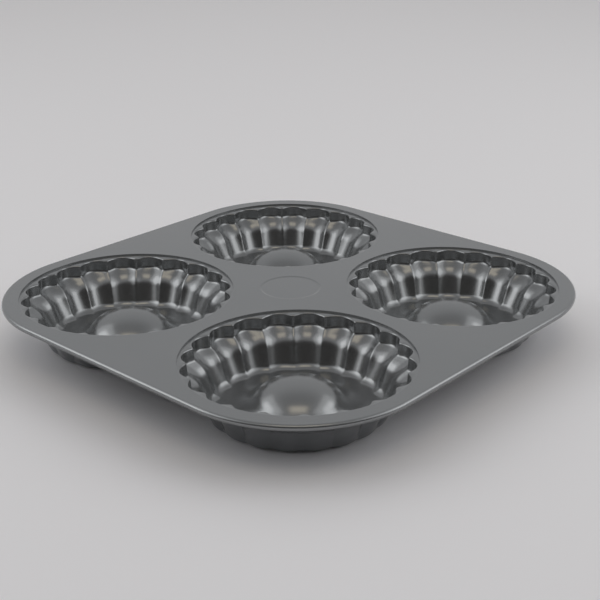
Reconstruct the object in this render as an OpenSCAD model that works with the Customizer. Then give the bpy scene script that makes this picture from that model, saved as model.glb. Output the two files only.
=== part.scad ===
/* [Sheet and deck] */
// Thickness of the steel sheet that the whole pan is pressed from
sheet_t = 0.6; // [0.4:0.1:0.8]
// Width of deck between the steps of two neighbouring cups
cup_gap = 9.8; // [6:0.2:20]
// Width of deck from a cup's step out to the outside of the rolled rim
edge_margin = 8.3; // [7:0.1:20]
// Diameter of the bead that the deck's edge is rolled into
rim_d = 3.4; // [3:0.1:5]
// How far the sheet is rolled round the bead, in degrees
rim_wrap = 280; // [200:5:290]
// Diameter of the plain round panel stamped in the middle of the deck
panel_d = 28.6; // [16:0.2:36]
// Depth of that panel below the deck
panel_h = 0.3; // [0.2:0.1:0.5]

/* [Cup] */
// Diameter of the round step that each cup sinks from
step_d = 102; // [96:1:120]
// Depth of the step below the deck
step_h = 0.8; // [0.5:0.1:1.5]
// Width of the ledge inside the step, at its narrowest, to the face of the collar
ledge_w = 0.8; // [0.8:0.1:3]
// Height of the upright fluted collar, from the ledge to the shoulder
collar_h = 6.1; // [4:0.1:8]
// How far the collar leans in from its top to its foot
collar_lean = 0.4; // [0:0.1:1]
// Width of the sloping shoulder below the collar
shoulder_w = 4.3; // [3.5:0.1:6]
// Drop of the shoulder from the collar's foot to the waist
shoulder_drop = 3.1; // [2:0.1:5]
// Depth of a cup from the deck to the inside of its floor
cup_depth = 23.8; // [20:0.1:32]
// Diameter on the floor that the line of the wall runs down to
heel_d = 76.6; // [70:0.2:82]
// Length of sheet that the fold at the collar's foot takes from each side
foot_fold = 1; // [0.5:0.1:1.5]
// Length that the fold at the waist, between shoulder and wall, takes from each side
waist_fold = 2.4; // [0.5:0.1:3]
// Length that the fold at the heel, between wall and floor, takes from each side
heel_fold = 2.4; // [1:0.1:3]

/* [Flutes] */
// Number of flutes round a cup
flutes = 20; // [14:1:24]
// Depth of the flutes on the collar, from their hollows to the ridges between them
flute_depth = 3; // [2:0.1:3.5]
// Depth of the flutes at the waist
waist_flute_depth = 2.1; // [1:0.1:3]
// Depth of the flutes at the heel
heel_flute_depth = 0.7; // [0.2:0.1:1.5]
// Width of the rounded ridge between two flutes
ridge_w = 1.9; // [1:0.1:3]

/* [Dome] */
// Height of the dome in the middle of a cup, above the floor
dome_h = 13.4; // [11:0.2:16]
// Diameter of the dome where it would meet the floor with no fillet
dome_d = 35.2; // [28:0.4:42]
// Height of the fillet round the dome's foot
dome_fillet_h = 5.9; // [2:0.1:7]

/* [Hidden] */

// The deck's upper face is at height 0 in each module, and pan() lifts it to its place
step_r = step_d / 2;
ledge_z = -step_h;
cup_pitch = step_d + cup_gap;
corner_r = step_r + edge_margin;
pan_h = cup_depth + sheet_t;
cup_centres = [for (x = [-1, 1], y = [-1, 1]) [x, y] * cup_pitch / 2];
rim_r = rim_d / 2;

// How far two stretches of sheet run into each other where they join
lap = 0.5;
// How far a cut runs past the face that it opens
past = 0.5;
// Share of the wall's thickness that the lower half of a ledge runs into
tongue_share = 0.4;
// Half the angle over which the direction of a ring is taken
ring_way_angle = 0.5;
// Sides of a full circle: of the pan's large curves, and of its small ones
large_fn = 160;
small_fn = 96;

// Corners of the section of a cup's wall: [radius in a flute's hollow, height, flute depth]
mouth = [step_r - ledge_w, ledge_z, flute_depth];
foot = [mouth[0] - collar_lean, ledge_z - collar_h, flute_depth];
waist = [foot[0] - shoulder_w, foot[1] - shoulder_drop, waist_flute_depth];
heel = [heel_d / 2, -cup_depth, heel_flute_depth];
floor_edge = [heel[0] - heel_fold, -cup_depth, 0];

// A place on the line from corner a to corner b, at a distance from a along the sheet
function along(a, b, distance) =
    a + (b - a) * distance / norm([b[0] - a[0], b[1] - a[1]]);

// The middle of the curve that rounds the heel, from the wall to the floor
wall_foot = along(heel, waist, heel_fold);
heel_middle = (wall_foot + 2 * heel + floor_edge) / 4;

/* Rings of the wall's inner face, from the top down. The sheet is straight from ring 0 to 1
   (collar), 2 to 3 (shoulder) and 4 to 5 (wall), and a fold joins each stretch to the next.
   The fold at the heel has a ring in its middle. */
rings = [
    along(mouth, foot, sheet_t),
    along(foot, mouth, foot_fold),
    along(foot, waist, foot_fold),
    along(waist, foot, waist_fold),
    along(waist, heel, waist_fold),
    wall_foot,
    heel_middle,
    floor_edge
];
last = len(rings) - 1;
// Points that a ring has in each flute: on the wall, in the heel's fold and on the floor
flute_points = 5;
heel_points = 3;
floor_points = 2;

// Half the angle from one ridge to the next, and half the angle that a ridge takes
half_flute = 180 / flutes;
half_ridge = asin(ridge_w / 2 / mouth[0]);

// Radius of a fluted ring at an angle from a flute's middle: one arc from ridge to ridge
function flute_radius(hollow_r, depth, angle) =
    let (ridge_r = hollow_r - depth)
    let (half_chord = ridge_r * sin(half_flute))
    let (rise = hollow_r - ridge_r * cos(half_flute))
    let (arc_r = (half_chord * half_chord + rise * rise) / (2 * rise))
    let (arc_x = hollow_r - arc_r)
    arc_x * cos(angle) + sqrt(arc_r * arc_r - pow(arc_x * sin(angle), 2));

// A point of the inner face, on ring i, at an angle from the middle of flute f
function inner_point(i, f, angle) =
    let (r = flute_radius(rings[i][0], rings[i][2], angle))
    let (a = 2 * half_flute * f + angle)
    [r * cos(a), r * sin(a), rings[i][1]];

function unit(v) = v / norm(v);

// The direction of the ring there
function ring_way(i, f, angle) =
    unit(inner_point(i, f, angle + ring_way_angle) - inner_point(i, f, angle - ring_way_angle));

// The way out through a straight stretch: square to the sheet's fall and to the ring
function stretch_way(i, f, angle) =
    let (upper = i - i % 2)
    let (down = inner_point(upper + 1, f, angle) - inner_point(upper, f, angle))
    unit(cross(down, ring_way(i, f, angle)));

// The way out through the sheet: level floor, the middle of the heel's fold, or a stretch
function way_out(i, f, angle) =
    i == last ? [0, 0, -1] :
    i == last - 1 ? unit(stretch_way(i - 1, f, angle) + [0, 0, -1]) :
    stretch_way(i, f, angle);

function outer_point(i, f, angle) =
    inner_point(i, f, angle) + sheet_t * way_out(i, f, angle);

// A point level with the collar's upper edge, at a distance outside it, and at height z
function brink_point(f, angle, distance, z) =
    let (p = inner_point(0, f, angle))
    let (way = ring_way(0, f, angle))
    [p[0] + distance * way[1], p[1] - distance * way[0], z];

// The angles of a ring's points within a flute: the outer two lie beside its ridges
function fluted_angles() =
    [for (k = [0 : flute_points - 1]) (half_flute - half_ridge) * (2 * k / (flute_points - 1) - 1)];

// The same, evenly spaced, for the rings where the flutes run out
function even_angles(count) =
    [for (k = [0 : count - 1]) half_flute * ((2 * k + 1) / count - 1)];

function ring_angles(i) =
    i == last ? even_angles(floor_points) :
    i == last - 1 ? even_angles(heel_points) :
    fluted_angles();

function inner_ring(i) = [for (f = [1 : flutes], a = ring_angles(i)) inner_point(i, f, a)];

function outer_ring(i) = [for (f = [1 : flutes], a = ring_angles(i)) outer_point(i, f, a)];

function brink_ring(distance, z) =
    [for (f = [1 : flutes], a = fluted_angles()) brink_point(f, a, distance, z)];

function flat_outline(ring) = [for (p = ring) [p[0], p[1]]];

function flat(lists) = [for (l = lists) each l];

// Triangles between a ring of na points, numbered from a, and the next, of nb from b
function band(a, na, b, nb, i = 0, j = 0) =
    i == na && j == nb ? [] :
    j == nb || (i < na && (i + 0.5) / na <= (j + 0.5) / nb)
        ? concat([[a + i, b + j % nb, a + (i + 1) % na]], band(a, na, b, nb, i + 1, j))
        : concat([[a + i % na, b + j, b + (j + 1) % nb]], band(a, na, b, nb, i, j + 1));

// The number of the first point of each ring
function starts(sizes, i = 0, total = 0) =
    i == len(sizes) ? [] : concat([total], starts(sizes, i + 1, total + sizes[i]));

/* The fluted wall and the floor of one cup. Its rings go from the ledge down the inner face,
   and from the floor back up the outer face, and the last of them closes on to the first. */
module fluted_cup() {
    all_rings = concat(
        [brink_ring(sheet_t, ledge_z)],
        [for (i = [0 : last]) inner_ring(i)],
        [for (i = [last : -1 : 1]) outer_ring(i)],
        [brink_ring(sheet_t, ledge_z - sheet_t)]
    );
    sizes = [for (ring = all_rings) len(ring)];
    start = starts(sizes);
    count = len(all_rings);
    over = last + 1;
    under = last + 2;
    bands = [
        for (i = [0 : count - 1])
            let (k = (i + 1) % count)
            if (k != under) band(start[i], sizes[i], start[k], sizes[k])
    ];
    over_floor = [for (k = [sizes[over] - 1 : -1 : 0]) start[over] + k];
    under_floor = [for (k = [0 : sizes[under] - 1]) start[under] + k];
    polyhedron(
        points = flat(all_rings),
        faces = concat(flat(bands), [over_floor, under_floor]),
        convexity = 6
    );
}

// Section of the dome's upper face: an ellipse, with a curved fillet at its foot
fillet_angle = asin(dome_fillet_h / dome_h);
fillet_top = [dome_d / 2 * cos(fillet_angle), dome_fillet_h];
fillet_corner = [dome_d / 2 / cos(fillet_angle), 0];
fillet_foot = fillet_corner + [norm(fillet_top - fillet_corner), 0];
fillet_steps = 8;
dome_steps = 12;

function fillet_point(s) =
    (1 - s) * (1 - s) * fillet_foot + 2 * s * (1 - s) * fillet_corner + s * s * fillet_top;

function dome_point(angle) = [dome_d / 2 * cos(angle), dome_h * sin(angle)];

dome_line = concat(
    [fillet_foot + [lap, 0]],
    [for (k = [0 : fillet_steps - 1]) fillet_point(k / fillet_steps)],
    [for (k = [0 : dome_steps]) dome_point(fillet_angle + (90 - fillet_angle) * k / dome_steps)]
);

// The same line on the dome's lower face, one thickness of sheet away
function under_dome(i) =
    let (top = len(dome_line) - 1)
    let (way = i < 2 || i == top ? [-1, 0] : unit(dome_line[i + 1] - dome_line[i - 1]))
    dome_line[i] + sheet_t * [-way[1], way[0]];

module dome() {
    lower = [for (i = [len(dome_line) - 1 : -1 : 0]) under_dome(i)];
    rotate_extrude($fn = small_fn)
        polygon(concat(dome_line, lower));
}

// One cup, with the middle of its floor raised into the dome
module cup() {
    difference() {
        fluted_cup();
        translate([0, 0, -cup_depth - sheet_t - past])
            cylinder(h = sheet_t + 2 * past, r = fillet_foot[0], $fn = small_fn);
    }
    translate([0, 0, -cup_depth])
        dome();
}

module rounded_square(side, r) {
    for (x = [-1, 1], y = [-1, 1])
        translate([x, y] * (side / 2 - r))
            circle(r, $fn = large_fn);
    square([side, side - 2 * r], center = true);
    square([side - 2 * r, side], center = true);
}

// Section of the rolled rim round its own middle: a lap on to the deck, then the open roll
module rim_section() {
    roll_end = 450 - rim_wrap;
    reach = 2 * rim_r;
    gap = [for (a = [90, (90 + roll_end) / 2, roll_end]) reach * [cos(a), sin(a)]];
    translate([-lap, rim_r - sheet_t])
        square([lap, sheet_t]);
    difference() {
        circle(rim_r, $fn = small_fn);
        circle(rim_r - sheet_t, $fn = small_fn);
        polygon(concat([[0, 0]], gap));
    }
}

// The rim goes round the deck's edge: a quarter turn at each corner, a straight on each side
module rolled_rim() {
    corner = cup_pitch / 2;
    for (a = [0 : 90 : 270])
        rotate(a)
            translate([corner, corner, -rim_r]) {
                rotate_extrude(angle = 90, $fn = large_fn)
                    translate([corner_r - rim_r, 0])
                        rim_section();
                translate([corner_r - rim_r, 0, 0])
                    rotate([90, 0, 0])
                        linear_extrude(cup_pitch)
                            rim_section();
            }
}

// The deck's sheet, thickened downwards round each step and under the panel
module deck_sheet() {
    flat_r = corner_r - rim_r - lap / 2;
    translate([0, 0, -sheet_t])
        linear_extrude(sheet_t)
            rounded_square(cup_pitch + 2 * flat_r, flat_r);
    for (c = cup_centres)
        translate([c[0], c[1], ledge_z - sheet_t])
            cylinder(h = step_h + sheet_t / 2, r = step_r + sheet_t, $fn = large_fn);
    translate([0, 0, -panel_h - sheet_t])
        cylinder(h = panel_h + sheet_t / 2, r = panel_d / 2 + sheet_t / 2, $fn = small_fn);
}

// What is sunk and cut for one cup: the step, and the fluted hole in its ledge.
// The ledge's lower half runs on into the cup's wall.
module cup_mouth() {
    tongue_gap = sheet_t * (1 - tongue_share);
    middle = ledge_z - sheet_t / 2;
    translate([0, 0, ledge_z])
        cylinder(h = step_h + past, r = step_r, $fn = large_fn);
    translate([0, 0, middle])
        linear_extrude(sheet_t / 2 + past)
            polygon(flat_outline(brink_ring(sheet_t, 0)));
    translate([0, 0, middle - sheet_t - past])
        linear_extrude(sheet_t + 2 * past)
            polygon(flat_outline(brink_ring(tongue_gap, 0)));
}

module deck() {
    difference() {
        deck_sheet();
        for (c = cup_centres)
            translate([c[0], c[1], 0])
                cup_mouth();
        translate([0, 0, -panel_h])
            cylinder(h = panel_h + past, r = panel_d / 2, $fn = small_fn);
    }
}

module pan() {
    color([0.45, 0.46, 0.47])
        translate([0, 0, pan_h]) {
            deck();
            rolled_rim();
            for (c = cup_centres)
                translate([c[0], c[1], 0])
                    cup();
        }
}

pan();
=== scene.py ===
# %% [markdown]
# A mini fluted cake pan is one sheet of coated steel. A press draws four fluted cups out of
# the flat sheet, each with a rounded dome in its middle, and then the edge is rolled into a
# bead. So this lesson builds one sheet too: a Geometry Nodes tree makes its upper face from
# the rules that the press tools follow, and a Solidify modifier gives it its thickness.

# %% Load the packed model
import math
import bpy
from mathutils import Matrix, Vector


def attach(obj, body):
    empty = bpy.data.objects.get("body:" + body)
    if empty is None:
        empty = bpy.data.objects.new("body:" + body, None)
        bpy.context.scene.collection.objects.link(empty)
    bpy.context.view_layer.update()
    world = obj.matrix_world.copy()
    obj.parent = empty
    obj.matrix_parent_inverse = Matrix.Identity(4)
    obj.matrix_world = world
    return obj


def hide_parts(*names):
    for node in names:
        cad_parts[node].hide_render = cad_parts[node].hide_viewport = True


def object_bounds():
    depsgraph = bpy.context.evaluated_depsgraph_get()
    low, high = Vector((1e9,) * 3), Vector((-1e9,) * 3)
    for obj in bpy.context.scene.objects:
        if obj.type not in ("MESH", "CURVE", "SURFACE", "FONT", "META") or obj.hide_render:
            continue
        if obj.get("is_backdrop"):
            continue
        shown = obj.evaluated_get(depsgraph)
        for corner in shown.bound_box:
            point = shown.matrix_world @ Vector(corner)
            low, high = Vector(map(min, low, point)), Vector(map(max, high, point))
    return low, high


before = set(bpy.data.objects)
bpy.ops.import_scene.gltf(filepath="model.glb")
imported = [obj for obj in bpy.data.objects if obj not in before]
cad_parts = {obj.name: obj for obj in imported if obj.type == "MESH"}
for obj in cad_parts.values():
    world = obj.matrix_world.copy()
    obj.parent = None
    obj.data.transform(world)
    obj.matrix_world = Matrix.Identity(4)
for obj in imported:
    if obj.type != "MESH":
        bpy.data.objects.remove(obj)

cad_low, cad_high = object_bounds()
print("solid model, lowest and highest corner in metres:", cad_low, cad_high)

# %% [markdown]
# The camera comes first, so that every later step can be looked at from the photograph's
# place. It stands off one corner of the pan and looks down on it by about 23 degrees. It is only
# half a metre away, so the near cup looks about a third larger than the far one. Turning a camera
# by eye rarely gets distance, lens and angles right together, so they were fitted to the outline
# of the pan.

# %% Camera
MM = 0.001
DECK_Z = cad_high.z
IMAGE_PX = 600
FOCAL_PX = 1148
SENSOR_MM = 36
CAMERA_AZIMUTH = math.radians(42.425)
CAMERA_ELEVATION = math.radians(22.842)
CAMERA_ROLL = math.radians(-0.423)
CAMERA_DISTANCE = 543.5 * MM
LOOK_AT = Vector((14.38 * MM, -8.91 * MM, DECK_Z))


def direction(azimuth, elevation):
    """The way from the pan to something seen from it. Azimuth 0 is in front, at -Y."""
    level = math.cos(elevation)
    return Vector((math.sin(azimuth) * level, -math.cos(azimuth) * level, math.sin(elevation)))


def make_camera():
    """The photograph's camera, turned to LOOK_AT."""
    back = direction(CAMERA_AZIMUTH, CAMERA_ELEVATION)
    right = Vector((0, 0, 1)).cross(back).normalized()
    up = back.cross(right)
    turned_right = right * math.cos(CAMERA_ROLL) + up * math.sin(CAMERA_ROLL)
    turned_up = up * math.cos(CAMERA_ROLL) - right * math.sin(CAMERA_ROLL)
    camera = bpy.data.objects.new("camera", bpy.data.cameras.new("camera"))
    turn = Matrix((turned_right, turned_up, back)).transposed().to_4x4()
    camera.matrix_world = Matrix.Translation(LOOK_AT + back * CAMERA_DISTANCE) @ turn
    camera.data.sensor_width = SENSOR_MM
    camera.data.lens = FOCAL_PX * SENSOR_MM / IMAGE_PX
    bpy.context.scene.collection.objects.link(camera)
    return camera


bpy.context.scene.camera = make_camera()
print("lens in mm:", bpy.context.scene.camera.data.lens)

# %% [markdown]
# A node tree reads best as formulas. Joining up hundreds of Math nodes by hand is slow and hides
# the rule behind them. The class below lets the script write `radius * angle.cos()` instead, and
# adds the nodes for it. A `Number` is one value somewhere in the tree.


# %% Formulas that become nodes
class Number:
    """A value in a node tree. Arithmetic on it adds Math nodes to the tree."""

    def __init__(self, tree, socket):
        self.tree = tree
        self.socket = socket

    def __add__(self, other):
        return self.tree.math("ADD", self, other)

    def __sub__(self, other):
        return self.tree.math("SUBTRACT", self, other)

    def __rsub__(self, other):
        return self.tree.math("SUBTRACT", other, self)

    def __mul__(self, other):
        return self.tree.math("MULTIPLY", self, other)

    def __truediv__(self, other):
        return self.tree.math("DIVIDE", self, other)

    def __rtruediv__(self, other):
        return self.tree.math("DIVIDE", other, self)

    def __mod__(self, other):
        return self.tree.math("FLOORED_MODULO", self, other)

    def floor(self):
        return self.tree.math("FLOOR", self)

    def root(self):
        return self.tree.math("SQRT", self)

    def sin(self):
        return self.tree.math("SINE", self)

    def cos(self):
        return self.tree.math("COSINE", self)

    __radd__ = __add__
    __rmul__ = __mul__


def methods(kind):
    return [name for name in vars(kind) if not name.startswith("__")]


print("a Number can be used with + - * / % and with:", methods(Number))

# %% [markdown]
# `Tree` adds a node to a node tree and joins it up, in one line. The pan's Geometry Nodes, the
# coat's shader and the sky behind the lights are all made with it, because the Math nodes are the
# same in all three.


# %% A node tree written as code
class Tree:
    """A node tree. Its methods add nodes and join them up."""

    def __init__(self, tree):
        self.tree = tree

    def feed(self, socket, value):
        if isinstance(value, Number):
            value = value.socket
        if isinstance(value, bpy.types.NodeSocket):
            self.tree.links.new(value, socket)
        else:
            socket.default_value = value

    def node(self, kind, inputs, **settings):
        node = self.tree.nodes.new(kind)
        for name, value in settings.items():
            setattr(node, name, value)
        for key, value in inputs.items():
            self.feed(node.inputs[key], value)
        return node

    def math(self, operation, *values):
        node = self.node("ShaderNodeMath", dict(enumerate(values)), operation=operation)
        return Number(self, node.outputs[0])


print("a Tree can:", methods(Tree))

# %% [markdown]
# `PressTree` is the Geometry Nodes tree that presses the pan. It starts with one named input for
# each size, so its formulas go by the sizes' names. `point` makes a vector of three numbers and
# `parts` takes one apart, `join` puts pieces of geometry together, and `pick` reads a short list.


# %% The tree that presses the pan
class PressTree(Tree):
    """A Geometry Nodes tree with named sizes as its inputs."""

    def __init__(self, name, sizes):
        super().__init__(bpy.data.node_groups.new(name, "GeometryNodeTree"))
        self.tree.is_modifier = True
        self.tree.interface.new_socket("Mesh", in_out="OUTPUT", socket_type="NodeSocketGeometry")
        for size_name in sizes:
            self.tree.interface.new_socket(
                size_name, in_out="INPUT", socket_type="NodeSocketFloat"
            )
        self.inputs = self.tree.nodes.new("NodeGroupInput")
        self.output = self.tree.nodes.new("NodeGroupOutput")

    def size(self, name):
        return Number(self, self.inputs.outputs[name])

    def point(self, x, y, z):
        return self.node("ShaderNodeCombineXYZ", {0: x, 1: y, 2: z}).outputs[0]

    def parts(self, vector):
        node = self.node("ShaderNodeSeparateXYZ", {0: vector})
        return [Number(self, socket) for socket in node.outputs]

    def join(self, pieces):
        node = self.node("GeometryNodeJoinGeometry", {})
        for piece in reversed(pieces):
            self.tree.links.new(piece, node.inputs[0])
        return node.outputs[0]

    def pick(self, kind, index, items):
        """Item number `index` of a short list, as a field."""
        node = self.tree.nodes.new("GeometryNodeIndexSwitch")
        node.data_type = kind
        while len(node.index_switch_items) < len(items):
            node.index_switch_items.new()
        self.feed(node.inputs[0], index)
        for socket, item in zip(list(node.inputs)[1:], items):
            self.feed(socket, item)
        return node.outputs[0]


print("a PressTree can also:", methods(PressTree))

# %% [markdown]
# These are the pan's sizes. The step is the round drop of 1 mm that each cup sinks from. The
# collar is the upright part of the fluted wall, then comes a sloping shoulder, the waist, and the
# long wall down to the heel at the floor. The pan's side and height are read from the solid
# model, and the places of the cups are the same. The dome, the step, the shoulder and the rim's
# thickness are a little nearer to the photograph: in a shiny sheet, the place of each highlight
# tells how it curves.

# %% Sizes of the pan
CUP_PITCH = 111.8 * MM
SHEET = 0.6 * MM
side = cad_high.x - cad_low.x
height = cad_high.z - cad_low.z


def to_hundredth_mm(length):
    return round(length, 5)


SIZES = {
    "Cup pitch": CUP_PITCH,
    "Corner radius": to_hundredth_mm((side - CUP_PITCH) / 2),
    "Rim radius": 1.45 * MM,
    "Step radius": 51.3 * MM,
    "Step depth": 1.0 * MM,
    "Mouth radius": 50.2 * MM,
    "Collar height": 5.9 * MM,
    "Collar lean": 0.4 * MM,
    "Shoulder width": 5.8 * MM,
    "Shoulder drop": 3.9 * MM,
    "Cup depth": to_hundredth_mm(height - SHEET),
    "Heel radius": 38.3 * MM,
    "Flutes": 20.0,
    "Flute depth": 3.0 * MM,
    "Waist flute depth": 2.1 * MM,
    "Heel flute depth": 0.7 * MM,
    "Dome radius": 21.0 * MM,
    "Dome height": 13.4 * MM,
    "Fillet height": 5.9 * MM,
    "Panel radius": 14.3 * MM,
    "Panel depth": 0.3 * MM,
}
print("side %.4f m, so the corner radius is %.4f m" % (side, SIZES["Corner radius"]))
print("height %.4f m, so the cup depth is %.4f m" % (height, SIZES["Cup depth"]))

# %% [markdown]
# A pressed form is described by its section: corners joined by straight stretches of sheet,
# with a fold at each corner. `section` turns a list of corners into a curve and rounds each
# corner with Fillet Curve, the way a press tool's edge rounds it. Every corner gives a fixed
# number of points, so two sections with the same folds match point by point.


# %% Sections with rounded folds
def section(tree, corners, folds):
    """A curve through (radius, height) corners. folds has (radius, points) for each corner."""
    index = tree.node("GeometryNodeInputIndex", {}).outputs[0]
    places = [tree.point(radius, 0.0, z) for radius, z in corners]
    points = tree.node(
        "GeometryNodePoints",
        {"Count": len(corners), "Position": tree.pick("VECTOR", index, places)},
    )
    line = tree.node("GeometryNodePointsToCurves", {"Points": points.outputs[0]})
    rounded = tree.node(
        "GeometryNodeFilletCurve",
        {
            "Curve": line.outputs[0],
            "Count": tree.pick("INT", index, [count for radius, count in folds]),
            "Radius": tree.pick("FLOAT", index, [radius for radius, count in folds]),
            "Limit Radius": True,
        },
        mode="POLY",
    )
    return rounded.outputs[0]


print("section makes:", section.__doc__)

# %% [markdown]
# A `strip` is a section swept round a centre. Curve to Mesh could sweep one section, but not
# turn it into another on the way, which the flutes need. So a strip starts from a flat grid whose
# columns are angles and whose rows are the section's points. The three helpers here say which row
# and column a point is in, and read the section's point for that row.


# %% Reading a section point by point
def rows_and_columns(tree, rows):
    """The row and the column that a point of the grid is in."""
    index = Number(tree, tree.node("GeometryNodeInputIndex", {}).outputs[0])
    return index % rows, (index / rows).floor()


def point_of(tree, curve, index):
    """The x, y and z of one point of a curve."""
    position = tree.node("GeometryNodeInputPosition", {}).outputs[0]
    sample = tree.node(
        "GeometryNodeSampleIndex",
        {"Geometry": curve, "Value": position, "Index": index},
        data_type="FLOAT_VECTOR",
        domain="POINT",
    )
    return tree.parts(sample.outputs[0])


def point_count(tree, curve):
    """The number of points that a curve has."""
    node = tree.node("GeometryNodeAttributeDomainSize", {0: curve}, component="CURVE")
    return Number(tree, node.outputs["Point Count"])


for helper in (rows_and_columns, point_of, point_count):
    print(helper.__name__, "gives:", helper.__doc__)

# %% [markdown]
# `strip` moves each point of the grid to its place. With two sections it goes from one to the
# other by `blend`: that is how flutes are made, from the section in a flute's hollow and the
# section along the ridge beside it. Each strip gives back its two borders as curves, and Fill
# Curve closes the flat sheet between the borders of different strips.

# %% Strips and the flat sheet between them
# Points nearer than this are one point
WELD = 0.004 * MM
# An edge between two rows has its mark half a row away from either, so this finds none of them
ROW_TOLERANCE = 0.25


def strip(tree, columns, hollow, angle_of, centre_of=None, ridge=None, blend_of=None):
    """A closed ring of quads. Returns it with its outer and inner border as curves."""
    rows = point_count(tree, hollow)
    grid = tree.node("GeometryNodeMeshGrid", {"Vertices X": columns + 1, "Vertices Y": rows})
    row, column = rows_and_columns(tree, rows)
    radius, _, z = point_of(tree, hollow, row)
    if ridge is not None:
        ridge_radius, _, ridge_z = point_of(tree, ridge, row)
        blend = blend_of(column)
        radius = radius + (ridge_radius - radius) * blend
        z = z + (ridge_z - z) * blend
    angle = angle_of(column)
    x = radius * angle.cos()
    y = radius * angle.sin()
    if centre_of is not None:
        centre_x, centre_y = centre_of(column)
        x = x + centre_x
        y = y + centre_y
    marked = tree.node(
        "GeometryNodeStoreNamedAttribute",
        {"Geometry": grid.outputs[0], "Name": "row", "Value": row},
        data_type="FLOAT",
        domain="POINT",
    )
    placed = tree.node(
        "GeometryNodeSetPosition",
        {"Geometry": marked.outputs[0], "Position": tree.point(x, y, z)},
    )
    ring = tree.node(
        "GeometryNodeMergeByDistance", {"Geometry": placed.outputs[0], "Distance": WELD}
    ).outputs[0]
    return ring, border(tree, ring, 0.0), border(tree, ring, rows - 1)


def border(tree, ring, row):
    """The edge loop of one row, as a closed curve."""
    mark = tree.node("GeometryNodeInputNamedAttribute", {"Name": "row"}, data_type="FLOAT")
    same = tree.node(
        "FunctionNodeCompare",
        {"A": mark.outputs[0], "B": row, "Epsilon": ROW_TOLERANCE},
        data_type="FLOAT",
        operation="EQUAL",
    )
    loop = tree.node("GeometryNodeMeshToCurve", {"Mesh": ring, "Selection": same.outputs[0]})
    return loop.outputs[0]


def flat_zone(tree, borders, z):
    """Flat sheet at height z between closed curves: the outer one, less those inside it."""
    filled = tree.node("GeometryNodeFillCurve", {"Curve": tree.join(borders)}, mode="TRIANGLES")
    x, y, _ = tree.parts(tree.node("GeometryNodeInputPosition", {}).outputs[0])
    level = tree.node(
        "GeometryNodeSetPosition",
        {"Geometry": filled.outputs[0], "Position": tree.point(x, y, z)},
    )
    return level.outputs[0]


tree = PressTree("pressed pan", SIZES)
print("inputs of the tree:", len(tree.tree.interface.items_tree) - 1)
print("weld distance in metres:", WELD)

# %% [markdown]
# The cup's wall starts on the deck just outside the step and ends on the floor. It could be
# modelled loop by loop with bevels at its folds, but then no fold could be changed later without
# doing the rest again. As a section it is a short list of corners and fold radii. The section
# along a ridge is the hollow's section moved in by the flute's depth, which gets less and less
# from the collar down to the heel. The fold radii are those of thin pressed steel: sharp at the
# step, and wide at the waist and the heel, so that a cake lets go. A wide fold also shows a lamp
# as a broad soft spot, and that is how these radii were found in the photograph.

# %% Section of the cup's wall
# How far a strip goes on over the flat sheet beside it, and further at the heel's wide fold
GUARD = 0.5 * MM
FLOOR_GUARD = 4.2 * MM
# Radius and number of points of the folds at the step's top and foot
STEP_FOLDS = [(0.07 * MM, 2), (0.05 * MM, 2)]
# The same for the folds at the collar's top and foot, the waist and the heel
WALL_FOLDS = [(0.9 * MM, 4), (2.4 * MM, 4), (12.0 * MM, 7), (4.4 * MM, 6)]
# The step is all but upright
STEP_LEAN = 0.02 * MM


def wall_corners(tree, on_ridge):
    """Corners from the deck to the floor. The flutes' depth counts on the ridge only."""
    step = tree.size("Step radius")
    mouth = tree.size("Mouth radius")
    ledge_z = tree.size("Step depth") * -1
    foot = mouth - tree.size("Collar lean")
    foot_z = ledge_z - tree.size("Collar height")
    waist = foot - tree.size("Shoulder width")
    waist_z = foot_z - tree.size("Shoulder drop")
    heel = tree.size("Heel radius")
    floor_z = tree.size("Cup depth") * -1
    depth = tree.size("Flute depth") * on_ridge
    return [
        (step + GUARD, 0.0),
        (step + STEP_LEAN, 0.0),
        (step, ledge_z),
        (mouth - depth, ledge_z),
        (foot - depth, foot_z),
        (waist - tree.size("Waist flute depth") * on_ridge, waist_z),
        (heel - tree.size("Heel flute depth") * on_ridge, floor_z),
        (heel - FLOOR_GUARD, floor_z),
    ]


END = (0.0, 1)
FOLDS = [END] + STEP_FOLDS + WALL_FOLDS + [END]
hollow = section(tree, wall_corners(tree, 0.0), FOLDS)
ridge = section(tree, wall_corners(tree, 1.0), FOLDS)
print("points down the cup's wall:", sum(count for radius, count in FOLDS))

# %% [markdown]
# Seen from above, a flute is a shallow arc and the ridge between two flutes is a narrow round
# crest. One flute could be modelled and copied round, but its seams would then show in a shiny
# sheet. So `flute_blend` writes the flutes as a rule: 0 in the middle of a hollow, 1 on a ridge.
# The term under the root rounds the crest. The columns crowd together towards the ridges,
# because that is where the sheet bends most.

# %% Flutes
COLUMNS_PER_FLUTE = 14
# How far the columns crowd together at the ridges: 0 would leave them even
CROWDING = 0.2
# How round the crests are: 0 would give each ridge a sharp edge
CREST = 0.2


def place_in_flute(column):
    """-1 and 1 on the two ridges of a flute, and 0 in its hollow."""
    share = column / COLUMNS_PER_FLUTE + 0.5
    even = (share - share.floor()) * 2.0 - 1.0
    return even + (even * math.pi).sin() * CROWDING


def flute_angle(column):
    flute = (column / COLUMNS_PER_FLUTE + 0.5).floor()
    half_flute = math.pi / tree.size("Flutes")
    return (flute * 2.0 + place_in_flute(column)) * half_flute


def flute_blend(column):
    place = place_in_flute(column)
    from_ridge = 1.0 - place * place
    crest = (from_ridge * from_ridge + CREST**2).root() - CREST
    return 1.0 - crest / (math.sqrt(1 + CREST**2) - CREST)


columns = int(SIZES["Flutes"]) * COLUMNS_PER_FLUTE
wall, wall_top, wall_foot = strip(
    tree, columns, hollow, flute_angle, ridge=ridge, blend_of=flute_blend
)
print("columns round a cup:", columns)

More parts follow.
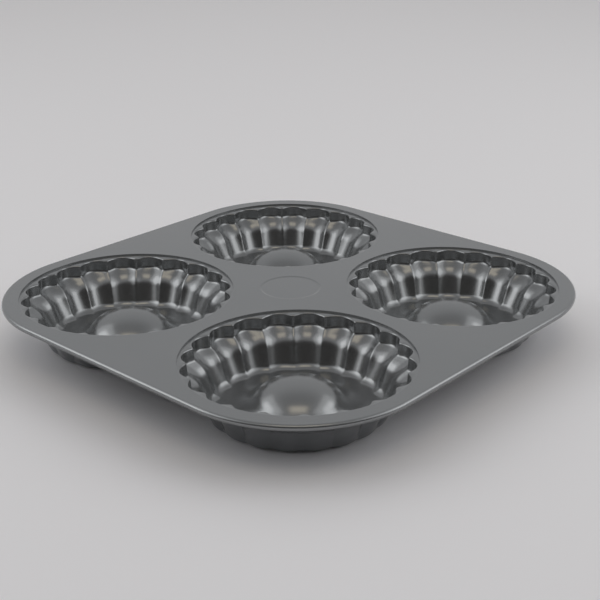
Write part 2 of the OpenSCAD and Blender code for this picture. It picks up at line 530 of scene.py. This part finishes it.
# %% [markdown]
# The dome makes the hollow in the baked cake. It is the top of an ellipsoid with a curved fillet
# at its foot. A UV sphere cut in half would meet the floor at a sharp corner. So the section joins
# a short line on the floor, a Bezier curve for the fillet and a stretched arc for the ellipse.

# %% Dome and floor
DOME_COLUMNS = 96
FILLET_POINTS = 9
DOME_POINTS = 12
fillet_angle = math.asin(SIZES["Fillet height"] / SIZES["Dome height"])


def even_angle(columns):
    return lambda column: column * (2 * math.pi / columns)


def dome_section(tree):
    radius = tree.size("Dome radius")
    floor_z = tree.size("Cup depth") * -1
    top_r = radius * math.cos(fillet_angle)
    top_z = floor_z + tree.size("Fillet height")
    corner_r = radius / math.cos(fillet_angle)
    slope = (top_r - corner_r) * (top_r - corner_r) + (top_z - floor_z) * (top_z - floor_z)
    foot_r = corner_r + slope.root()
    guard = tree.node(
        "GeometryNodeCurvePrimitiveLine",
        {
            "Start": tree.point(foot_r + GUARD, 0.0, floor_z),
            "End": tree.point(foot_r, 0.0, floor_z),
        },
    )
    fillet = tree.node(
        "GeometryNodeCurveQuadraticBezier",
        {
            "Resolution": FILLET_POINTS,
            "Start": tree.point(foot_r, 0.0, floor_z),
            "Middle": tree.point(corner_r, 0.0, floor_z),
            "End": tree.point(top_r, 0.0, top_z),
        },
    )
    arc = tree.node(
        "GeometryNodeCurveArc",
        {
            "Resolution": DOME_POINTS,
            "Radius": 1.0,
            "Start Angle": fillet_angle,
            "Sweep Angle": math.pi / 2 - fillet_angle,
        },
    )
    x, y, _ = tree.parts(tree.node("GeometryNodeInputPosition", {}).outputs[0])
    ellipse = tree.node(
        "GeometryNodeSetPosition",
        {
            "Geometry": arc.outputs[0],
            "Position": tree.point(x * radius, 0.0, y * tree.size("Dome height") + floor_z),
        },
    )
    return tree.join([guard.outputs[0], fillet.outputs[0], ellipse.outputs[0]])


dome, dome_foot, _ = strip(tree, DOME_COLUMNS, dome_section(tree), even_angle(DOME_COLUMNS))
ring_floor = flat_zone(tree, [wall_foot, dome_foot], tree.size("Cup depth") * -1)
cup = tree.join([wall, ring_floor, dome])
print("dome, radius and height in metres:", SIZES["Dome radius"], SIZES["Dome height"])

# %% [markdown]
# The rolled rim stiffens the thin sheet and keeps its cut edge away from fingers. A bevelled
# curve could make it, but the roll has to join the deck without a seam. So the rim is a strip as
# well. Its section is an open roll, and it runs round a square with rounded corners: a quarter
# turn about each corner cup's centre, and straight in between.

# %% Rolled rim
RIM_WRAP = math.radians(280)
CORNER_STEPS = 24
ROLL_POINTS = 26


def rim_section(tree):
    rim = tree.size("Rim radius")
    centre = tree.size("Corner radius") - rim
    roll = tree.node(
        "GeometryNodeCurveArc",
        {
            "Resolution": ROLL_POINTS,
            "Radius": rim,
            "Start Angle": math.pi / 2 - RIM_WRAP,
            "Sweep Angle": RIM_WRAP,
        },
    )
    x, y, _ = tree.parts(tree.node("GeometryNodeInputPosition", {}).outputs[0])
    stood = tree.node(
        "GeometryNodeSetPosition",
        {"Geometry": roll.outputs[0], "Position": tree.point(x + centre, 0.0, y - rim)},
    )
    guard = tree.node(
        "GeometryNodeCurvePrimitiveLine",
        {"Start": tree.point(centre, 0.0, 0.0), "End": tree.point(centre - GUARD, 0.0, 0.0)},
    )
    return tree.join([stood.outputs[0], guard.outputs[0]])


def rim_angle(column):
    quarter = (column / (CORNER_STEPS + 1)).floor()
    step = column % (CORNER_STEPS + 1)
    return (quarter + step / CORNER_STEPS) * (math.pi / 2)


def rim_centre(column):
    """The centre that the rim turns about: the middle of the cup in that corner."""
    quarter = (column / (CORNER_STEPS + 1)).floor()
    way = (quarter + 0.5) * (math.pi / 2)
    reach = tree.size("Cup pitch") * math.sqrt(0.5)
    return way.cos() * reach, way.sin() * reach


rim, _, rim_inside = strip(
    tree, 4 * (CORNER_STEPS + 1), rim_section(tree), rim_angle, centre_of=rim_centre
)
print("thickness of the roll in metres:", 2 * SIZES["Rim radius"])

# %% [markdown]
# The middle of the deck has a plain round panel, stamped 0.3 mm deep. The deck itself is what
# is left between the rim, the four cups and the panel. Booleans could cut a plate to that shape,
# but its edges would then have points of their own. Fill Curve closes it between the borders that
# are there, so every seam meets point to point. One cup is made, and Instance on Points puts a
# copy at each corner.

# %% Panel, deck and the four cups
PANEL_COLUMNS = 96
PANEL_FOLDS = [END, (0.5 * MM, 3), (0.5 * MM, 3), END]


def panel_corners(tree):
    radius = tree.size("Panel radius")
    low = tree.size("Panel depth") * -1
    return [
        (radius + 2 * GUARD, 0.0),
        (radius + GUARD, 0.0),
        (radius - GUARD, low),
        (radius - 2 * GUARD, low),
    ]


panel_edge, panel_outside, panel_inside = strip(
    tree,
    PANEL_COLUMNS,
    section(tree, panel_corners(tree), PANEL_FOLDS),
    even_angle(PANEL_COLUMNS),
)
panel = flat_zone(tree, [panel_inside], tree.size("Panel depth") * -1)


def at_each_cup(tree, piece):
    """Copies of a piece about the middles of the four cups, two by two."""
    half = tree.size("Cup pitch") / 2.0
    index = Number(tree, tree.node("GeometryNodeInputIndex", {}).outputs[0])
    across = (index % 2.0) * 2.0 - 1.0
    along = (index / 2.0).floor() * 2.0 - 1.0
    centres = tree.node(
        "GeometryNodePoints", {"Count": 4, "Position": tree.point(across * half, along * half, 0.0)}
    )
    copies = tree.node(
        "GeometryNodeInstanceOnPoints", {"Points": centres.outputs[0], "Instance": piece}
    )
    return tree.node("GeometryNodeRealizeInstances", {0: copies.outputs[0]}).outputs[0]


deck = flat_zone(tree, [rim_inside, panel_outside, at_each_cup(tree, wall_top)], 0.0)
sheet = tree.join([rim, deck, panel_edge, panel, at_each_cup(tree, cup)])
print("nodes in the tree so far:", len(tree.tree.nodes))

# %% [markdown]
# The coating is a grey non-stick finish over steel. It is smooth but not a mirror: it throws
# soft-edged highlights and takes its tone from what is around it, nearly as a metal does. A
# colour and one roughness would give that, but too clean. So a wide faint noise varies the tone,
# and a fine one varies the roughness and gives a very low bump, as the sprayed coat has.

# %% Coated steel
COAT_TONES = (0.250, 0.260, 0.266, 1), (0.280, 0.287, 0.291, 1)
COAT_METALLIC = 0.8
COAT_ROUGHNESS = 0.175, 0.265
# Noise scales are in waves to a metre
CLOUD_SCALE = 22.0
GRAIN_SCALE = 700.0
GRAIN_STRENGTH = 0.12
GRAIN_HEIGHT = 0.02 * MM


def coated_steel():
    """The pan's coat, as a material."""
    material = bpy.data.materials.new("coated_steel")
    material.use_nodes = True
    coat = Tree(material.node_tree)
    place = coat.node("ShaderNodeTexCoord", {}).outputs["Object"]
    cloud = coat.node("ShaderNodeTexNoise", {"Vector": place, "Scale": CLOUD_SCALE, "Detail": 3.0})
    tone = coat.node(
        "ShaderNodeMix",
        {"Factor": cloud.outputs[0], "A": COAT_TONES[0], "B": COAT_TONES[1]},
        data_type="RGBA",
    )
    grain = coat.node("ShaderNodeTexNoise", {"Vector": place, "Scale": GRAIN_SCALE, "Detail": 4.0})
    rough = coat.node(
        "ShaderNodeMapRange",
        {"Value": grain.outputs[0], "To Min": COAT_ROUGHNESS[0], "To Max": COAT_ROUGHNESS[1]},
    )
    bump = coat.node(
        "ShaderNodeBump",
        {"Height": grain.outputs[0], "Strength": GRAIN_STRENGTH, "Distance": GRAIN_HEIGHT},
    )
    shader = material.node_tree.nodes["Principled BSDF"]
    coat.feed(shader.inputs["Base Color"], tone.outputs["Result"])
    coat.feed(shader.inputs["Roughness"], rough.outputs[0])
    coat.feed(shader.inputs["Normal"], bump.outputs[0])
    shader.inputs["Metallic"].default_value = COAT_METALLIC
    return material


steel = coated_steel()
print("nodes in the coat:", len(steel.node_tree.nodes))

# %% [markdown]
# The tree ends by lifting the sheet to its height above the floor and closing the seams. Smooth
# shading suits all of the sheet but the step, where it bends by 90 degrees within a tenth of a
# millimetre. There it would smear the step's thin dark line. So each edge that turns by more than
# `HARD_TURN` is marked sharp, and the rest is left smooth.

# %% The end of the tree
HARD_TURN = math.radians(40)
lift = tree.size("Cup depth") + SHEET
moved = tree.node(
    "GeometryNodeTransform", {"Geometry": sheet, "Translation": tree.point(0.0, 0.0, lift)}
)
closed = tree.node("GeometryNodeMergeByDistance", {"Geometry": moved.outputs[0], "Distance": WELD})
smooth = tree.node("GeometryNodeSetShadeSmooth", {"Geometry": closed.outputs[0]})
turn = tree.node("GeometryNodeInputMeshEdgeAngle", {}).outputs[0]
hard = tree.node(
    "FunctionNodeCompare", {"A": turn, "B": HARD_TURN}, data_type="FLOAT", operation="GREATER_THAN"
)
crisp = tree.node(
    "GeometryNodeSetShadeSmooth",
    {"Geometry": smooth.outputs[0], "Selection": hard.outputs[0], "Shade Smooth": False},
    domain="EDGE",
)
clean = tree.node("GeometryNodeRemoveAttribute", {"Geometry": crisp.outputs[0], "Name": "row"})
real = tree.node("GeometryNodeRealizeInstances", {0: clean.outputs[0]})
painted = tree.node("GeometryNodeSetMaterial", {"Geometry": real.outputs[0], "Material": steel})
tree.feed(tree.output.inputs[0], painted.outputs[0])
print("nodes in the whole tree:", len(tree.tree.nodes))

# %% [markdown]
# The modifier's inputs are set by their identifiers before anything is evaluated. Solidify then
# grows the sheet's thickness downwards from the upper face, as the real sheet has one thickness
# all over. The result becomes a plain mesh, and it rides on the model's one body.


# %% From the tree to one mesh
def evaluate_pan():
    """The mesh that the tree and Solidify make."""
    maker = bpy.data.objects.new("maker", bpy.data.meshes.new("maker"))
    bpy.context.scene.collection.objects.link(maker)
    nodes = maker.modifiers.new("press", "NODES")
    nodes.node_group = tree.tree
    for item in tree.tree.interface.items_tree:
        if item.in_out == "INPUT":
            nodes[item.identifier] = SIZES[item.name]
    thick = maker.modifiers.new("sheet", "SOLIDIFY")
    thick.thickness = SHEET
    thick.offset = -1
    thick.use_even_offset = True
    mesh = bpy.data.meshes.new_from_object(
        maker.evaluated_get(bpy.context.evaluated_depsgraph_get())
    )
    bpy.data.objects.remove(maker)
    return mesh


mesh = evaluate_pan()
mesh.name = "fluted_pan"
pan = bpy.data.objects.new("fluted_pan", mesh)
bpy.context.scene.collection.objects.link(pan)
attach(pan, "root")
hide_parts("pan")
mesh.calc_loop_triangles()
print("triangles in the pan:", len(mesh.loop_triangles))

# %% [markdown]
# The pan stands on plain pale paper. A curved studio backdrop would do as well, but a flat floor
# that goes on far past the picture is simpler, and it looks the same from every side.

# %% Floor
FLOOR_REACH = 40.0
PAPER = (0.85, 0.844, 0.862, 1)
PAPER_ROUGHNESS = 0.9


def make_floor():
    """One large square of pale paper, its upper side at the pan's foot."""
    square = ((-1, -1), (1, -1), (1, 1), (-1, 1))
    corners = [(x * FLOOR_REACH, y * FLOOR_REACH, 0) for x, y in square]
    mesh = bpy.data.meshes.new("floor")
    mesh.from_pydata(corners, [], [(0, 1, 2, 3)])
    floor = bpy.data.objects.new("floor", mesh)
    bpy.context.scene.collection.objects.link(floor)
    material = bpy.data.materials.new("pale_paper")
    material.use_nodes = True
    shader = material.node_tree.nodes["Principled BSDF"]
    shader.inputs["Base Color"].default_value = PAPER
    shader.inputs["Roughness"].default_value = PAPER_ROUGHNESS
    mesh.materials.append(material)
    return floor


make_floor()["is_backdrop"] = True
print("floor, from its middle to its edge in metres:", FLOOR_REACH)

# %% [markdown]
# The light is that of a small photo tent, and a shiny pan shows all of it. An HDR picture of a
# tent could give it. Here the sky's colour is built up from patches with soft edges instead: they
# need no file, and each can be moved and tuned by itself. A patch is a rectangle about one
# direction of the sky, and `lay_patch` works out how far every other direction leans from it.


# %% A sky of soft patches
def along_axis(sky, axis):
    """How far each direction of the sky goes along an axis."""
    way = sky.node("ShaderNodeTexCoord", {}).outputs["Generated"]
    dot = sky.node("ShaderNodeVectorMath", {0: way, 1: axis}, operation="DOT_PRODUCT")
    return dot.outputs["Value"]


def soft_share(sky, lean, size, soft):
    """1 within a patch of this size, 0 outside it, and a soft slope at its edge."""
    inner = math.radians(size / 2 - soft)
    outer = math.radians(size / 2 + soft)
    slope = sky.node(
        "ShaderNodeMapRange",
        {"Value": lean, "From Min": outer, "From Max": inner},
        interpolation_type="SMOOTHSTEP",
    )
    return Number(sky, slope.outputs[0])


def lay_patch(sky, under, azimuth, elevation, width, height, soft, colour):
    """The colour `under` with a patch laid over it. All its sizes are in degrees."""
    middle = direction(CAMERA_AZIMUTH + math.radians(azimuth), math.radians(elevation))
    across = Vector((0, 0, 1)).cross(middle).normalized()
    upwards = middle.cross(across)
    ahead = along_axis(sky, middle)
    shares = []
    for axis, size in ((across, width), (upwards, height)):
        away = sky.math("ABSOLUTE", along_axis(sky, axis))
        lean = sky.math("ARCTAN2", away, ahead)
        shares.append(soft_share(sky, lean, size, soft))
    mix = sky.node(
        "ShaderNodeMix",
        {"Factor": shares[0] * shares[1], "A": under, "B": (*colour, 1)},
        data_type="RGBA",
    )
    return mix.outputs["Result"]


print("lay_patch makes:", lay_patch.__doc__)

# %% [markdown]
# The tent is pale all round and a little darker overhead. Behind the camera it is open and dark,
# which gives the cups' far walls their deep tone. High above the opening is a warm patch: it
# makes the tan spot on the front of each dome.

# %% The tent's sky
PALE = (0.545, 0.545, 0.552)
# Azimuths are counted from the camera's, and later patches lie over earlier ones
PATCHES = {
    "darker overhead": dict(
        azimuth=0, elevation=87, width=66, height=66, soft=18, colour=(0.345, 0.345, 0.35)
    ),
    "dark opening": dict(
        azimuth=0, elevation=22, width=150, height=42, soft=9, colour=(0.04, 0.038, 0.035)
    ),
    "warm patch": dict(
        azimuth=0, elevation=70, width=32, height=21, soft=4, colour=(1.22, 1.1, 0.93)
    ),
}

world = bpy.data.worlds.new("tent")
world.use_nodes = True
bpy.context.scene.world = world
sky = Tree(world.node_tree)
sky_colour = (*PALE, 1)
for name, patch in PATCHES.items():
    sky_colour = lay_patch(sky, sky_colour, **patch)
    print("sky patch:", name)
sky.feed(world.node_tree.nodes["Background"].inputs["Color"], sky_colour)

# %% [markdown]
# A bright panel stands on each side of the pan: a wide dim sheet with a smaller bright core, as a
# lamp makes behind tent cloth. They are area lights and not patches of sky, because they are near,
# and so each dome shows them in a place of its own. They are there for the metal's highlights
# only, and throw no light on the floor.


# %% Side panels
def area_light(name, place, size, glow):
    """A rectangle of light that faces the pan's middle, with the same glow at any size."""
    light = bpy.data.lights.new(name, "AREA")
    light.shape = "RECTANGLE"
    light.size, light.size_y = size
    light.energy = glow * math.pi * light.size * light.size_y
    lamp = bpy.data.objects.new(name, light)
    lamp.location = place
    lamp.rotation_euler = place.to_track_quat("Z", "Y").to_euler()
    lamp.visible_camera = False
    bpy.context.scene.collection.objects.link(lamp)
    return lamp


def place_by_camera(right, towards, up):
    """A place given to the camera's right, towards the camera and up from the pan's middle."""
    along = direction(CAMERA_AZIMUTH, 0)
    across = direction(CAMERA_AZIMUTH + math.pi / 2, 0)
    return across * right + along * towards + Vector((0, 0, up))


# How far they stand to the side and towards the camera, and the height of their lower edge
SIDE_REACH = 400 * MM
SIDE_AHEAD = 45 * MM
SIDE_FOOT = 120 * MM
# Length, height and glow of the bright core and of the dim sheet
SIDE_SHEETS = [(260 * MM, 205 * MM, 1.0), (560 * MM, 345 * MM, 0.5)]
# -1 for left or 1 for right, and the share of the glow, as the left lamp is a little stronger
SIDE_PANELS = {"left_panel": (-1, 1.0), "right_panel": (1, 0.85)}

for name, (hand, share) in SIDE_PANELS.items():
    for length, high, glow in SIDE_SHEETS:
        middle = place_by_camera(hand * SIDE_REACH, SIDE_AHEAD, SIDE_FOOT + high / 2)
        panel_light = area_light(name, middle, (length, high), glow * share)
        panel_light.visible_diffuse = False
        print("%s, sheet of %.3f by %.3f m" % (name, length, high))

# %% [markdown]
# The last three lights are there for the floor. One hangs far behind and above the pan, and one
# stands on each side. Large lights make wide soft shadows, and the weaker one on the left lets
# the shadow there get darker, as in the photograph. The metal's highlights don't show them.

# %% Lights for the floor
# Place to the camera's right, towards the camera and up, side length, and glow
FLOOR_LIGHTS = {
    "overhead": (0, -800 * MM, 1300 * MM, 1600 * MM, 0.33),
    "left_fill": (-900 * MM, 0, 600 * MM, 700 * MM, 0.95),
    "right_fill": (900 * MM, 0, 600 * MM, 700 * MM, 1.35),
}

for name, (right, towards, up, length, glow) in FLOOR_LIGHTS.items():
    floor_light = area_light(name, place_by_camera(right, towards, up), (length, length), glow)
    floor_light.visible_glossy = False
    print("floor light:", name, "power in watts", round(floor_light.data.energy, 2))

bpy.context.scene.view_settings.view_transform = "Standard"

# %% [markdown] Last, the dressed model's box is printed, to be read beside the solid model's box printed at the start. The two should be the same, as the dressed pan keeps the solid's outer size.

# %% The dressed model's size
low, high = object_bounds()
print("dressed model, lowest and highest corner in metres:", low, high)
